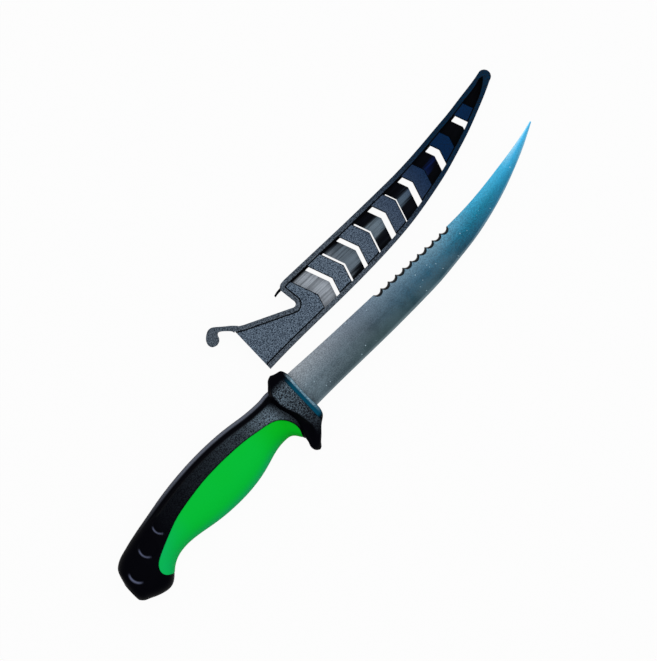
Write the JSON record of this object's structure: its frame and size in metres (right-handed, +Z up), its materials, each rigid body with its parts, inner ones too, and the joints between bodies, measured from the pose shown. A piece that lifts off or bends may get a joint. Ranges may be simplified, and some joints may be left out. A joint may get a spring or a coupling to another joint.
{
  "type": "fillet knife",
  "caption": "Fillet knife with a curved blade, partly serrated spine, two-colour handle and lobed guard, lying beside its slotted clip-on sheath.",
  "frame": {"origin": "on the resting plane, under the middle of the knife and its sheath", "axes": "+X along the blade towards its tip, +Y from the cutting edge towards the spine, +Z up from the surface that both lie on"},
  "size_m": [0.3142, 0.0838, 0.0241],
  "materials": {
    "blade_steel": "satin ground stainless steel",
    "handle_black": "grained hard moulding",
    "grip_green": "smooth soft moulding",
    "sheath_black": "grained flexible moulding"
  },
  "bodies": {
    "knife": {"blade": "blade_steel", "handle_body": "handle_black", "soft_grip": "grip_green", "guard": "handle_black"},
    "sheath": {"sheath": "sheath_black"},
    "hook": {"sheath_hook": "sheath_black"}
  },
  "joints": [
    {"name": "sheath_draw", "type": "slide", "parent": "knife", "child": "sheath", "axis": [1, 0, 0], "range_m": [0, 0.19]},
    {"name": "hook_flex", "type": "hinge", "parent": "sheath", "child": "hook", "pos_m": [-0.02687, 0.03267, 0.0044], "axis": [0, 0, -1], "range_deg": [0, 11], "stiffness_Nm_per_rad": 0.2}
  ]
}
